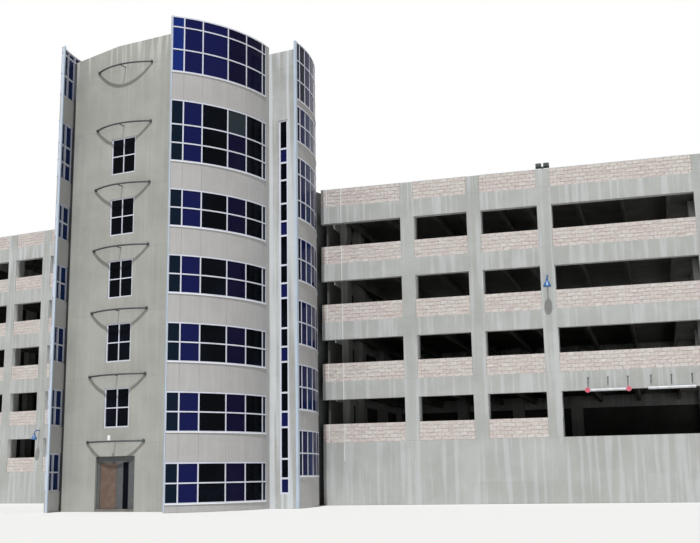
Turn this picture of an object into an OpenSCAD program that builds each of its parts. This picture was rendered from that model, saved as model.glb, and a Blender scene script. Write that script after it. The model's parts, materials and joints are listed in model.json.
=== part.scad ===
// Multi storey car park at half real size: a stair tower with three curved glazed bays,
// and two parking wings of concrete columns, beams and rough block walls.
// X runs along the tower's front wall to the right, Y runs back, Z is up from the lowest ground.

/* [Storeys] */
// Height from one parking floor to the next
storey_h = 1680; // [1600:10:1760]
// Thickness of the parking floors
slab_t = 100; // [80:5:130]
// Thickness of the tower's floors
floor_t = 110; // [80:5:140]

/* [Tower walls] */
// Thickness of the tower's concrete walls
wall_t = 150; // [130:5:170]
// Distance from the shade hoops' centre line to the tower's left side
tower_left = 2696; // [2600:10:2800]
// Distance from the front wall back to the two return walls
return_set = 2016; // [1950:5:2080]
// Height of the attic floor above the sixth storey line
attic_rise = 450; // [400:10:560]
// Drop of the tower's roof below the top of its walls
roof_drop = 90; // [60:5:140]
// Thickness of the ground floor inside the tower
ground_t = 60; // [50:5:70]

/* [Front windows] */
// Width of a front window opening
window_w = 790; // [700:10:860]
// Height of a front window opening
window_h = 1008; // [940:4:1060]
// Height of a front window's sill above its floor
window_sill = 407; // [380:1:430]
// Width of the window frames' bars
sash_w = 46; // [36:1:56]
// Depth of the window frames
sash_d = 60; // [50:1:80]
// Thickness of the glass
glass_t = 12; // [8:1:20]
// Setback of the window frames from the wall's face
sash_set = 20; // [10:1:40]

/* [Strip window] */
// Width of the tall strip window opening
strip_w = 280; // [240:5:320]
// Distance of the strip window from the front bay's inner face
strip_gap = 380; // [340:5:420]
// Height of the strip window's foot above the ground
strip_foot = 353; // [320:1:380]
// Height of the strip window's head above the fifth storey line
strip_head = 1900; // [1860:5:1960]
// Rise of the lower bar of each coloured pane above its storey line
strip_low = 353; // [330:1:370]
// Rise of the upper bar of each coloured pane above its storey line
strip_mid = 748; // [720:1:770]
// Rise of the bar above the upper dark pane
strip_high = 1235; // [1200:1:1260]
// Rise of the first bar above the fifth storey line
strip_attic_low = 205; // [190:1:220]
// Rise of the second bar above the fifth storey line
strip_attic_mid = 694; // [680:1:710]
// Rise of the third bar above the fifth storey line
strip_attic_high = 1087; // [1070:1:1100]

/* [Curved bays] */
// Thickness of the bays' concrete bands
bay_t = 90; // [82:1:100]
// Depth of the bays' window frames
frame_d = 70; // [60:1:74]
// Width of the bays' window frames
frame_w = 50; // [40:1:60]
// Gap between neighbouring concrete panels
panel_gap = 8; // [5:1:12]
// Setback of the concrete bands from the frames' outer face
band_set = 5; // [2:1:8]
// Width of the pale edge fin at a bay's free end
fin_w = 84; // [70:1:100]
// Depth of the edge fin
fin_d = 130; // [110:1:150]
// Distance that an edge fin stands out beyond its bay's face
fin_proud = 12; // [6:1:20]
// Radius of the front bay
front_bay_r = 3780; // [3750:5:3810]
// Sideways place of the front bay's free end
front_free_x = 2186; // [2176:1:2196]
// Distance of the front bay's free end in front of the front wall
front_free_y = 898; // [888:1:908]
// Sideways place of the front bay's end at the return wall
front_end_x = 3345; // [3335:1:3355]
// Radius of the right and left bays
side_bay_r = 4368; // [4340:4:4400]
// Sideways place of the right bay's free end, in line with the return walls
right_free_x = 4208; // [4198:1:4218]
// Sideways distance of the right bay's other end from the right wing's corner
right_jamb_x = 49; // [44:1:54]
// Distance of that end in front of the right wing's corner
right_jamb_y = 82; // [76:1:88]
// Sideways distance of the left bay's free end from the hoops' centre line
left_free_x = 1655; // [1645:1:1665]
// Distance of the left bay's free end in front of the front wall
left_free_y = 690; // [680:1:700]
// Sideways distance of the left bay's end at the return wall from the hoops' centre line
left_end_x = 1766; // [1756:1:1776]

/* [Bay windows] */
// Height of the sills of the front and left bays above each storey line
bay_sill = 193; // [180:1:210]
// Height of an ordinary window row in the front and left bays
bay_row = 487; // [470:1:500]
// Height of the top row of the tall fifth storey window
tall_row = 655; // [630:5:680]
// Height of the crown window's sill above the sixth storey line
crown_sill = 884; // [860:4:900]
// Height of the two lower rows of the crown window
crown_row = 613; // [600:1:630]
// Height of the top row of the crown window
crown_top_row = 294; // [280:1:310]
// Height of the right bay's sills above each storey line
right_sill = 781; // [765:1:795]
// Height of an ordinary window row in the right bay
right_row = 589; // [570:1:600]
// Height of the lower row of the right bay's tall window
right_tall_low = 500; // [490:1:510]
// Height of the middle row of the right bay's tall window
right_tall_mid = 720; // [700:5:730]
// Height of the upper row of the right bay's tall window
right_tall_high = 480; // [470:1:490]
// Height of the sixth storey sill in the right bay above the fifth storey line
right_upper_sill = 1226; // [1210:2:1250]
// Height of a row in the right bay's window under its crown
right_upper_row = 512; // [500:1:520]
// Height of the right bay's crown sill above the sixth storey line
right_crown_sill = 744; // [730:2:760]
// Height of a lower row in the right bay's crown window
right_crown_row = 564; // [550:1:580]

/* [Shade hoops] */
// Half the span of a shade hoop
hoop_half = 920; // [880:5:960]
// Distance that a hoop bows out from the wall
hoop_bow = 250; // [220:5:300]
// Diameter of the hoop's tube
hoop_d = 46; // [40:1:56]
// Height of the hoops above each storey line
hoop_rise = 55; // [45:1:70]
// Diameter of the strut that holds a hoop's middle
strut_d = 26; // [20:1:34]
// Diameter of the wall bosses at a hoop's ends
boss_d = 84; // [76:1:96]
// Height of those bosses
boss_h = 32; // [28:1:40]

/* [Entry] */
// Width of the entry opening
entry_w = 1230; // [1180:5:1280]
// Height of the entry opening
entry_h = 1370; // [1330:5:1400]
// Setback of the entry's infill from the wall's face
entry_set = 60; // [50:1:66]
// Thickness of the entry's infill
infill_t = 80; // [70:1:84]
// Width of the door opening
door_w = 520; // [480:5:560]
// Height of the door opening above the ground floor
door_h = 1150; // [1110:5:1180]
// Distance of the door opening from the entry's left jamb
door_inset = 110; // [100:5:150]
// Thickness of the door leaf
door_t = 26; // [22:1:34]
// Running gap round the door leaf
door_gap = 6; // [5:0.5:8]
// Radius of the door's hinge pin
hinge_r = 9; // [7:0.5:11]
// Width of the dark side panel beside the door
side_panel_w = 174; // [150:2:200]
// Distance of the side panel from the door opening
side_panel_gap = 200; // [180:5:230]
// Diameter of the entry lamp
entry_lamp_d = 90; // [76:1:100]
// Height of the entry lamp
entry_lamp_h = 126; // [110:2:140]

/* [Right wing] */
// Sideways place of the right wing's front left corner
right_x = 3515; // [3505:1:3525]
// Distance of that corner behind the front wall
right_y = 4380; // [4375:1:4400]
// Turn of the right wing away from the tower's front wall, in degrees
right_turn = 9.2; // [8.6:0.1:9.8]
// Open joint between the tower and the right wing
joint_w = 150; // [130:5:170]
// Clear width of the first bay beside the tower
bay_a = 2350; // [2250:10:2450]
// Clear width of the second bay
bay_b = 1512; // [1450:2:1570]
// Clear width of the third bay
bay_c = 1554; // [1500:2:1600]
// Clear width of the wide bay over the vehicle entrance
bay_d = 3680; // [3600:10:3760]
// Depth of both parking wings
wing_depth = 8064; // [7900:4:8200]

/* [Left wing] */
// Number of equal bays of the left wing beside the tower
left_bays = 6; // [4:1:6]
// Number of equal bays of the left wing behind the tower
back_bays = 2; // [1:1:2]
// Distance from column to column in the left wing
left_pitch = 1680; // [1620:10:1740]
// Distance of the left wing's face, and so of the tower's back, behind the tower's front wall
left_set = 7728; // [7600:4:7800]
// Rise of the left wing's floors above the right wing's
left_rise = 1109; // [1080:1:1130]

/* [Parking frame] */
// Width of a column as seen on the face
col_w = 376; // [350:2:400]
// Depth of a column
col_d = 450; // [420:5:480]
// Height of an edge beam
beam_h = 496; // [470:2:510]
// Thickness of an edge beam
beam_t = 200; // [180:5:230]
// Height of a block wall above its beam
block_h = 509; // [490:1:520]
// Thickness of a block wall
block_t = 100; // [90:2:120]
// Setback of the block walls from the beams' face
block_set = 24; // [16:1:32]
// Height of the floor ribs below a parking floor
rib_h = 230; // [200:5:260]
// Width of a floor rib
rib_w = 90; // [70:5:110]
// Greatest distance between neighbouring floor ribs
rib_pitch = 1250; // [1230:10:1300]

/* [Clearance bars] */
// Length of a clearance bar
bar_len = 1160; // [1100:5:1180]
// Diameter of a clearance bar
bar_d = 70; // [60:1:80]
// Distance from hanger to hanger on one bar
hanger_pitch = 500; // [470:5:520]
// Distance of the first bar's middle from the third column
bar_first = 1196; // [1150:2:1240]
// Distance from the first bar's middle to the second bar's middle
bar_next = 1570; // [1500:5:1620]
// Drop of a bar's middle below the hangers' pins
bar_drop = 315; // [300:1:330]
// Height of the hangers' pins above the beam's lower edge
pin_rise = 301; // [290:1:320]
// Distance of the pins in front of the beam's face
pin_out = 62; // [56:1:70]
// Radius of a hanger's pin
pin_r = 8; // [6:0.5:9]
// Radius of a hanger's rod
hanger_r = 8; // [6:0.5:10]
// Outer radius of a hanger's eye
eye_r = 20; // [18:0.5:24]
// Thickness of a hanger's eye
eye_t = 16; // [14:0.5:20]
// Thickness of a pin's bracket plate
bracket_t = 12; // [10:0.5:16]
// Diameter of the discs at the first bar's ends
disc_d = 130; // [110:2:150]
// Thickness of those discs
disc_t = 20; // [14:1:26]

/* [Lamps] */
// Height of the wall lamps' arm above the storey line below it
lamp_rise = 890; // [860:5:920]
// Distance that the wall lamps stand out
lamp_out = 260; // [240:5:300]
// Diameter of a wall lamp's shade
shade_d = 210; // [190:2:240]
// Height of a wall lamp's shade
shade_h = 200; // [180:2:220]
// Height of the shade's upright brim
shade_brim = 25; // [18:1:32]
// Height of the shade's waist above its brim's lower edge
shade_waist = 100; // [90:2:110]
// Diameter of the shade at its waist
shade_waist_d = 140; // [130:2:150]
// Height of the foot of the shade's neck
shade_neck = 160; // [150:2:170]
// Diameter of a wall lamp's arm
arm_d = 34; // [28:1:40]
// Width of a roof floodlight
flood_w = 150; // [130:2:180]
// Height of a roof floodlight
flood_h = 90; // [80:2:110]
// Distance from the middle of one floodlight to the other
flood_pitch = 210; // [190:2:230]
// Length of the bar that carries the floodlights
flood_bar = 375; // [360:5:390]
// Height of a roof floodlight's post
flood_post = 90; // [70:2:120]

/* [Hidden] */
$fn = 96;

// Sides of a full circle of a bay's radius
bay_sides = 1440;
// Distance of the part's origin behind the front wall's face
origin_set = 1500;
// One overrun for every cut
over = 20;
// A length greater than the tower's plan
reach = 2 * left_set;
// Seat of a framed, glazed or hung piece beside its neighbour
seat_gap = 0.3;

tower_top = 6 * storey_h + crown_sill + 2 * crown_row + crown_top_row;
concrete = [0.67, 0.66, 0.62];
band_colour = [0.74, 0.71, 0.69];
block_colour = [0.80, 0.76, 0.72];
frame_colour = [0.80, 0.81, 0.88];
glass_colour = [0.10, 0.09, 0.30];
dark_metal = [0.18, 0.20, 0.20];
lamp_blue = [0.12, 0.28, 0.50];

// A bay through two ends, counterclockwise, with the relative widths of its panes:
// centre x, centre y, radius, first angle, pane turns, the angle sign of its free end
function arc_bay(first, last, r, panes, free) =
    let (across = last - first, half = norm(across) / 2,
         inward = [-across[1], across[0]] / norm(across),
         centre = (first + last) / 2 + inward * sqrt(r * r - half * half),
         turn = 2 * asin(half / r) / total(panes, len(panes)))
    [centre[0], centre[1], r, atan2(first[1] - centre[1], first[0] - centre[0]),
     [for (pane = panes) pane * turn], free];
front_bay = arc_bay([front_free_x, -front_free_y], [front_end_x, return_set], front_bay_r,
                    [5, 7.5, 11, 9.7, 6.5, 6.5, 2.8], -1);
right_bay = arc_bay([right_free_x, return_set], [right_x + right_jamb_x, right_y - right_jamb_y],
                    side_bay_r, [2.4, 4.5, 5.6, 6, 6.6, 6.4], -1);
left_bay = arc_bay([-left_end_x, return_set], [-left_free_x, -left_free_y], side_bay_r,
                   [6.7, 6.7, 6.7, 6.6, 4.7, 4.7], 1);

// Window bands: a list of [sill height, row heights]
front_windows = concat(
    [for (k = [0:4]) [k * storey_h + bay_sill, [bay_row, bay_row]]],
    [[5 * storey_h + bay_sill, [bay_row, bay_row, tall_row]],
     [6 * storey_h + crown_sill, [crown_row, crown_row, crown_top_row]]]);
right_crown_top = tower_top - 6 * storey_h - right_crown_sill - 2 * right_crown_row;
right_windows = concat(
    [for (k = [0:3]) [k * storey_h + right_sill, [right_row, right_row]]],
    [[4 * storey_h + right_sill, [right_tall_low, right_tall_mid, right_tall_high]],
     [5 * storey_h + right_upper_sill, [right_upper_row, right_upper_row]],
     [6 * storey_h + right_crown_sill, [right_crown_row, right_crown_row, right_crown_top]]]);

// Parking wings: x of the left end, x of the right end, front columns, back columns, rise of the
// lowest floor, number of floors, and whether the front left corner column stands behind the beams
right_cols = [joint_w + bay_a, joint_w + bay_a + col_w + bay_b,
              joint_w + bay_a + 2 * col_w + bay_b + bay_c,
              joint_w + bay_a + 3 * col_w + bay_b + bay_c + bay_d];
right_end = right_cols[3] + col_w;
right_wing = [joint_w, right_end, right_cols, concat([joint_w], right_cols), storey_h, 5, true];
left_cols = [for (i = [0:left_bays + back_bays]) i * left_pitch];
left_end = (left_bays + back_bays) * left_pitch + col_w;
left_wing = [0, left_end, left_cols, left_cols, left_rise, 6, false];
side_pitch = (wing_depth - 2 * col_d - 2 * col_w) / 3;
side_cols = [col_d + side_pitch, col_d + 2 * side_pitch + col_w];

function total(list, n) = n <= 0 ? 0 : list[n - 1] + total(list, n - 1);
function band_top(w) = w[0] + total(w[1], len(w[1]));
function pane_angles(bay) = [for (i = [0:len(bay[4])]) bay[3] + total(bay[4], i)];
function turn_for(length, radius) = length / radius * 180 / PI;
function bay_point(bay, radius, turn) = [bay[0] + radius * cos(turn), bay[1] + radius * sin(turn)];
// Where a bay's inner face crosses the line of the return walls
function inner_x(bay, side) =
    bay[0] + side * sqrt(pow(bay[2] - bay_t, 2) - pow(return_set - bay[1], 2));
// Clear runs between columns of width w that start at the listed places, from a to b
function runs(starts, w, a, b) =
    let (n = len(starts))
    [for (i = [0:n])
        let (from = i == 0 ? a : starts[i - 1] + w, to = i == n ? b : starts[i])
        if (to - from > w / 2) [from, to]];
function floor_z(wing, k) = wing[4] + k * storey_h;

// Places
module at_tower() {
    translate([0, -origin_set, 0]) children();
}
module at_right() {
    at_tower() translate([right_x, right_y, 0]) rotate(right_turn) children();
}
module at_left() {
    at_tower() translate([-tower_left - left_bays * left_pitch - col_w, left_set, 0]) children();
}
module bay_place(bay) {
    at_tower() translate([bay[0], bay[1], 0]) children();
}

// Curved bays
module arc_bar(r_in, r_out, z_low, z_high, from, to) {
    rotate(from) rotate_extrude(angle = to - from, $fn = bay_sides)
        translate([r_in, z_low]) square([r_out - r_in, z_high - z_low]);
}
// Concrete panels between one window band and the next, one for each pane's width
module bay_bands(bay, windows) {
    angles = pane_angles(bay);
    gap = turn_for(panel_gap, bay[2]) / 2;
    last = len(angles) - 2;
    bay_place(bay)
        for (b = [0:len(windows) - 1])
            for (i = [0:last])
                arc_bar(bay[2] - bay_t, bay[2] - band_set,
                        b == 0 ? 0 : band_top(windows[b - 1]), windows[b][0],
                        angles[i] + (i == 0 ? 0 : gap), angles[i + 1] - (i == last ? 0 : gap));
}
// One curved frame for each window band, with a light cut through it for every pane and row
module bay_frames(bay, windows) {
    angles = pane_angles(bay);
    last = len(angles) - 2;
    bar = turn_for(frame_w, bay[2]);
    bay_place(bay)
        for (w = windows)
            difference() {
                arc_bar(bay[2] - frame_d, bay[2], w[0] + seat_gap, band_top(w) - seat_gap,
                        angles[0], angles[last + 1]);
                rows = len(w[1]);
                for (r = [0:rows - 1]) {
                    foot = w[0] + total(w[1], r) + (r == 0 ? frame_w : frame_w / 2);
                    head = w[0] + total(w[1], r + 1) - (r == rows - 1 ? frame_w : frame_w / 2);
                    for (i = [0:last])
                        arc_bar(bay[2] - frame_d - over, bay[2] + over, foot, head,
                                angles[i] + (i == 0 ? bar : bar / 2),
                                angles[i + 1] - (i == last ? bar : bar / 2));
                }
            }
}
// Panes of glass behind the frames, meeting behind the upright bars
module bay_glass(bay, windows) {
    angles = pane_angles(bay);
    gap = turn_for(panel_gap, bay[2]) / 2;
    last = len(angles) - 2;
    face = bay[2] - frame_d - seat_gap;
    bay_place(bay)
        for (w = windows)
            for (i = [0:last])
                arc_bar(face - glass_t, face, w[0] + seat_gap, band_top(w) - seat_gap,
                        angles[i] + (i == 0 ? 0 : gap), angles[i + 1] - (i == last ? 0 : gap));
}
module edge_fin(bay) {
    angles = pane_angles(bay);
    turn = bay[5] < 0 ? angles[0] : angles[len(angles) - 1];
    bay_place(bay) rotate(turn)
        translate([bay[2] + fin_proud - fin_d, bay[5] < 0 ? -fin_w - seat_gap : seat_gap, 0])
            cube([fin_d, fin_w, tower_top]);
}
module inside_bay(bay) {
    translate([bay[0], bay[1]]) circle(r = bay[2] - bay_t - seat_gap, $fn = bay_sides);
}

// Tower plan
module front_wall_plan() {
    intersection() {
        translate([-tower_left, 0]) square([reach, wall_t]);
        inside_bay(front_bay);
        inside_bay(left_bay);
    }
}
module beyond_right_wall(inset) {
    translate([right_x, right_y]) rotate(right_turn)
        translate([-inset, -reach]) square([reach, 2 * reach]);
}
module front_room_plan() {
    intersection() {
        translate([-tower_left, wall_t]) square([reach, return_set]);
        inside_bay(front_bay);
        inside_bay(left_bay);
    }
}
// The right wall, with the jamb that closes it to the right bay's last panel
right_bay_turn = right_bay[3] + total(right_bay[4], len(right_bay[4])) + turn_for(seat_gap, side_bay_r);
module right_wall_plan() {
    intersection() {
        difference() {
            beyond_right_wall(wall_t);
            beyond_right_wall(0);
        }
        translate([0, right_y]) square([reach, left_set - right_y]);
    }
    polygon([bay_point(right_bay, side_bay_r - bay_t, right_bay_turn),
             bay_point(right_bay, side_bay_r - band_set, right_bay_turn),
             [right_x, right_y], [right_x - wall_t / cos(right_turn), right_y]]);
}
module back_room_plan() {
    low = return_set + wall_t;
    difference() {
        union() {
            intersection() {
                translate([-tower_left + wall_t, low]) square([reach, right_y - low]);
                inside_bay(right_bay);
            }
            difference() {
                translate([-tower_left + wall_t, right_y]) square([reach, left_set - wall_t - right_y]);
                beyond_right_wall(wall_t);
            }
        }
        right_wall_plan();
    }
}
// Heights of the tower's slabs: underside and thickness of each
slabs = concat([[0, ground_t]], [for (k = [1:5]) [k * storey_h - floor_t, floor_t]],
               [[6 * storey_h + attic_rise - floor_t, floor_t],
                [tower_top - roof_drop - floor_t, floor_t]]);
module entry_gap() {
    translate([-entry_w / 2, -over]) square([entry_w, wall_t + 2 * over]);
}

module front_wall() {
    color(concrete) at_tower() difference() {
        translate([0, 0, entry_h]) linear_extrude(tower_top - entry_h) front_wall_plan();
        for (k = [1:5])
            translate([-window_w / 2, -over, k * storey_h + window_sill])
                cube([window_w, wall_t + 2 * over, window_h]);
    }
}
module entry_wall_piers() {
    color(concrete) at_tower() linear_extrude(entry_h) difference() {
        front_wall_plan();
        entry_gap();
    }
}
door_x = -entry_w / 2 + door_inset;
infill_h = entry_h - ground_t;
panel_x = door_x + door_w + side_panel_gap;
module entry_infill() {
    color(dark_metal) at_tower() {
        translate([-entry_w / 2, entry_set, ground_t]) cube([door_inset, infill_t, infill_h]);
        difference() {
            translate([door_x + door_w, entry_set, ground_t])
                cube([entry_w / 2 - door_x - door_w, infill_t, infill_h]);
            translate([panel_x, entry_set - over, ground_t + door_gap])
                cube([side_panel_w, infill_t / 2 + over, door_h]);
        }
    }
}
module entry_over_panel() {
    color(dark_metal) at_tower() translate([door_x, entry_set, ground_t + door_h])
        cube([door_w, infill_t, infill_h - door_h]);
}
module entry_side_panel() {
    color(glass_colour) at_tower()
        translate([panel_x, entry_set + infill_t / 2 - glass_t, ground_t + door_gap])
            cube([side_panel_w, glass_t, door_h]);
}
// The leaf closes at the infill's front face and turns on a pin at its left edge
door_axis_x = door_x + door_gap + hinge_r;
door_axis_y = entry_set + hinge_r;
module entry_door() {
    color([0.32, 0.24, 0.20]) at_tower() {
        translate([door_axis_x, door_axis_y, ground_t + seat_gap])
            cylinder(r = hinge_r, h = door_h - 2 * seat_gap);
        translate([door_axis_x, entry_set, ground_t + door_gap])
            cube([door_w - 2 * door_gap - hinge_r, door_t, door_h - 2 * door_gap]);
    }
}
module entry_lamp() {
    color("white") at_tower()
        translate([0, -hoop_bow, storey_h + hoop_rise + hoop_d / 2])
            cylinder(d = entry_lamp_d, h = entry_lamp_h);
}

// Walls on both sides of the front, set back from it
front_inner_x = inner_x(front_bay, 1);
right_inner_x = inner_x(right_bay, 1);
left_inner_x = inner_x(left_bay, -1);
strip_x = front_inner_x + strip_gap;
strip_top = 5 * storey_h + strip_head;
module strip_window_wall() {
    color(concrete) at_tower() difference() {
        translate([front_inner_x, return_set, 0])
            linear_extrude(tower_top) intersection() {
                square([right_inner_x - front_inner_x, wall_t]);
                translate([-front_inner_x, -return_set]) inside_bay(right_bay);
            }
        translate([strip_x, return_set - over, strip_foot])
            cube([strip_w, wall_t + 2 * over, strip_top - strip_foot]);
    }
}
module left_return_wall() {
    color(concrete) at_tower() translate([-tower_left, return_set, 0])
        cube([tower_left + left_inner_x, wall_t, tower_top]);
}
module left_side_wall() {
    color(concrete) at_tower() translate([-tower_left, return_set + wall_t, 0])
        cube([wall_t, left_set - return_set - wall_t, tower_top]);
}
module tower_back_wall() {
    color(concrete) at_tower() linear_extrude(tower_top) difference() {
        translate([-tower_left + wall_t, left_set - wall_t]) square([reach, wall_t]);
        beyond_right_wall(wall_t);
    }
}
module tower_right_wall() {
    color(concrete) at_tower() linear_extrude(tower_top) right_wall_plan();
}
module tower_front_floors() {
    color(concrete) at_tower() {
        for (slab = slabs)
            translate([0, 0, slab[0]]) linear_extrude(slab[1]) front_room_plan();
        translate([-entry_w / 2, 0, 0]) cube([entry_w, wall_t, ground_t]);
    }
}
module tower_back_floors() {
    color(concrete) at_tower() for (slab = slabs)
        translate([0, 0, slab[0]]) linear_extrude(slab[1]) back_room_plan();
}

module front_bay_bands() { color(band_colour) bay_bands(front_bay, front_windows); }
module front_bay_frames() { color(frame_colour) bay_frames(front_bay, front_windows); }
module front_bay_glass() { color(glass_colour) bay_glass(front_bay, front_windows); }
module right_bay_bands() { color(band_colour) bay_bands(right_bay, right_windows); }
module right_bay_frames() { color(frame_colour) bay_frames(right_bay, right_windows); }
module right_bay_glass() { color(glass_colour) bay_glass(right_bay, right_windows); }
module left_bay_bands() { color(band_colour) bay_bands(left_bay, front_windows); }
module left_bay_frames() { color(frame_colour) bay_frames(left_bay, front_windows); }
module left_bay_glass() { color(glass_colour) bay_glass(left_bay, front_windows); }
module bay_edge_fins() {
    color([0.85, 0.9, 0.95]) {
        edge_fin(front_bay);
        edge_fin(right_bay);
        edge_fin(left_bay);
    }
}

// A flat window frame with upright bars and rails at the listed heights above its foot
module flat_frame(w, h, uprights, rails) {
    difference() {
        cube([w, sash_d, h]);
        for (i = [0:uprights])
            for (r = [0:len(rails) - 2]) {
                light_w = (w - (uprights + 2) * sash_w) / (uprights + 1);
                low = r == 0 ? sash_w : rails[r] + sash_w / 2;
                high = r == len(rails) - 2 ? h - sash_w : rails[r + 1] - sash_w / 2;
                translate([sash_w + i * (light_w + sash_w), -over, low])
                    cube([light_w, sash_d + 2 * over, high - low]);
            }
    }
}
module front_window_frames() {
    color("white") at_tower() for (k = [1:5])
        translate([-window_w / 2, sash_set, k * storey_h + window_sill])
            flat_frame(window_w, window_h, 1, [0, window_h / 2, window_h]);
}
strip_rails = concat([0],
    [for (k = [0:4]) for (rise = [strip_low, strip_mid, strip_high])
        if (k * storey_h + rise > strip_foot) k * storey_h + rise - strip_foot],
    [for (rise = [strip_attic_low, strip_attic_mid, strip_attic_high])
        5 * storey_h + rise - strip_foot],
    [strip_top - strip_foot]);
module strip_window_frame() {
    color(frame_colour) at_tower() translate([strip_x, return_set + sash_set, strip_foot])
        flat_frame(strip_w, strip_top - strip_foot, 0, strip_rails);
}
module window_glass() {
    color(glass_colour) at_tower() {
        for (k = [1:5])
            translate([-window_w / 2, sash_set + sash_d, k * storey_h + window_sill])
                cube([window_w, glass_t, window_h]);
        translate([strip_x, return_set + sash_set + sash_d, strip_foot])
            cube([strip_w, glass_t, strip_top - strip_foot]);
    }
}

// Bowed tubes over the windows, each seated in two wall bosses and held by a strut at its middle
hoop_r = (hoop_half * hoop_half + hoop_bow * hoop_bow) / (2 * hoop_bow);
hoop_turn = acos((hoop_r - hoop_bow + hoop_d / 2) / hoop_r);
module shade_hoops() {
    color(dark_metal) at_tower() for (k = [1:7])
        translate([0, 0, k * storey_h + hoop_rise]) {
            translate([0, hoop_r - hoop_bow, 0]) rotate(-90 - hoop_turn)
                rotate_extrude(angle = 2 * hoop_turn) translate([hoop_r, 0]) circle(d = hoop_d);
            for (side = [-1, 1])
                translate([side * hoop_r * sin(hoop_turn), 0, 0])
                    rotate([90, 0, 0]) cylinder(d = boss_d, h = boss_h);
            translate([0, -hoop_bow, 0]) rotate([-90, 0, 0]) cylinder(d = strut_d, h = hoop_bow);
        }
}

// Parking wings
module col_plan(wing) {
    a = wing[0];
    b = wing[1];
    for (x = wing[2]) translate([x, 0]) square([col_w, col_d]);
    for (x = wing[3]) translate([x, wing_depth - col_d]) square([col_w, col_d]);
    for (y = side_cols) {
        translate([a, y]) square([col_d, col_w]);
        translate([b - col_d, y]) square([col_d, col_w]);
    }
    if (wing[6]) translate([a, beam_t]) square([col_w, col_d]);
}
module wing_columns(wing, top) {
    linear_extrude(top) difference() {
        col_plan(wing);
        if (wing[6]) translate([wing[0], beam_t]) square([col_w, col_d]);
    }
    if (wing[6]) translate([wing[0], beam_t, 0])
        cube([col_w, col_d, floor_z(wing, wing[5] - 1) - slab_t]);
}
// Plan of a band of thickness t, set back from the faces, between the columns
module band_plan(wing, t, set, skip_front) {
    a = wing[0];
    b = wing[1];
    front = runs(wing[2], col_w, a, b);
    for (i = [0:len(front) - 1])
        if (i != skip_front)
            translate([front[i][0], set]) square([front[i][1] - front[i][0], t]);
    for (r = runs(wing[3], col_w, a, b))
        translate([r[0], wing_depth - set - t]) square([r[1] - r[0], t]);
    for (r = runs(side_cols, col_w, col_d, wing_depth - col_d)) {
        low = wing[6] && r[0] == col_d ? col_d + beam_t : r[0];
        translate([a + set, low]) square([t, r[1] - low]);
        translate([b - set - t, r[0]]) square([t, r[1] - r[0]]);
    }
}
module wing_beams(wing) {
    for (k = [0:wing[5] - 1])
        translate([0, 0, floor_z(wing, k) - beam_h])
            linear_extrude(beam_h) band_plan(wing, beam_t, 0, -1);
}
module wing_blocks(wing, entrance) {
    for (k = [0:wing[5] - 1])
        translate([0, 0, floor_z(wing, k)])
            linear_extrude(block_h) band_plan(wing, block_t, block_set, k == 0 ? entrance : -1);
}
module slab_plan(wing) {
    difference() {
        translate([wing[0] + beam_t, beam_t])
            square([wing[1] - wing[0] - 2 * beam_t, wing_depth - 2 * beam_t]);
        col_plan(wing);
    }
}
module wing_floors(wing) {
    for (k = [0:wing[5] - 1])
        translate([0, 0, floor_z(wing, k) - slab_t]) linear_extrude(slab_t) slab_plan(wing);
}
module wing_ribs(wing) {
    for (k = [0:wing[5] - 1])
        for (r = runs(wing[2], col_w, wing[0], wing[1])) {
            n = ceil((r[1] - r[0]) / rib_pitch);
            for (i = [0:n - 1])
                translate([r[0] + (i + 0.5) * (r[1] - r[0]) / n - rib_w / 2, beam_t,
                           floor_z(wing, k) - slab_t - rib_h])
                    cube([rib_w, wing_depth - 2 * beam_t, rib_h]);
        }
}
module wing_base(wing) {
    linear_extrude(floor_z(wing, 0) - beam_h) band_plan(wing, beam_t, 0, -1);
}

right_top = right_wing[4] + 4 * storey_h + block_h;
left_top = left_wing[4] + 5 * storey_h + block_h;
module right_columns() { color(concrete) at_right() wing_columns(right_wing, right_top); }
module right_beams() { color(concrete) at_right() wing_beams(right_wing); }
module right_block_walls() { color(block_colour) at_right() wing_blocks(right_wing, 3); }
module right_floors() { color(concrete) at_right() wing_floors(right_wing); }
module right_floor_ribs() { color(concrete) at_right() wing_ribs(right_wing); }
module right_base_walls() { color(concrete) at_right() wing_base(right_wing); }
module left_columns() { color(concrete) at_left() wing_columns(left_wing, left_top); }
module left_beams() { color(concrete) at_left() wing_beams(left_wing); }
module left_block_walls() { color(block_colour) at_left() wing_blocks(left_wing, -1); }
module left_floors() { color(concrete) at_left() wing_floors(left_wing); }
module left_floor_ribs() { color(concrete) at_left() wing_ribs(left_wing); }
module left_base_walls() { color(concrete) at_left() wing_base(left_wing); }

// Clearance bars that swing from pins in front of the beam over the vehicle entrance
bar_x = right_cols[2] + col_w + bar_first;
pin_z = 2 * storey_h - beam_h + pin_rise;
module clearance_bar(middle) {
    translate([middle - bar_len / 2, -pin_out, pin_z - bar_drop])
        rotate([0, 90, 0]) cylinder(d = bar_d, h = bar_len);
    for (i = [-1:1])
        translate([middle + i * hanger_pitch, -pin_out, pin_z]) {
            translate([0, 0, -bar_drop]) cylinder(r = hanger_r, h = bar_drop - (eye_r + pin_r) / 2);
            rotate([0, 90, 0]) difference() {
                translate([0, 0, -eye_t / 2]) cylinder(r = eye_r, h = eye_t);
                translate([0, 0, -eye_t]) cylinder(r = pin_r + seat_gap, h = 2 * eye_t);
            }
        }
}
module clearance_bar_left() {
    color("silver") at_right() {
        clearance_bar(bar_x);
        for (side = [-1, 1])
            translate([bar_x + side * (bar_len / 2 - disc_d / 2), -pin_out - bar_d / 2, pin_z - bar_drop])
                rotate([90, 0, 0]) translate([0, 0, -disc_t]) cylinder(d = disc_d, h = 2 * disc_t);
    }
}
module clearance_bar_right() {
    color("silver") at_right() clearance_bar(bar_x + bar_next);
}
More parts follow.
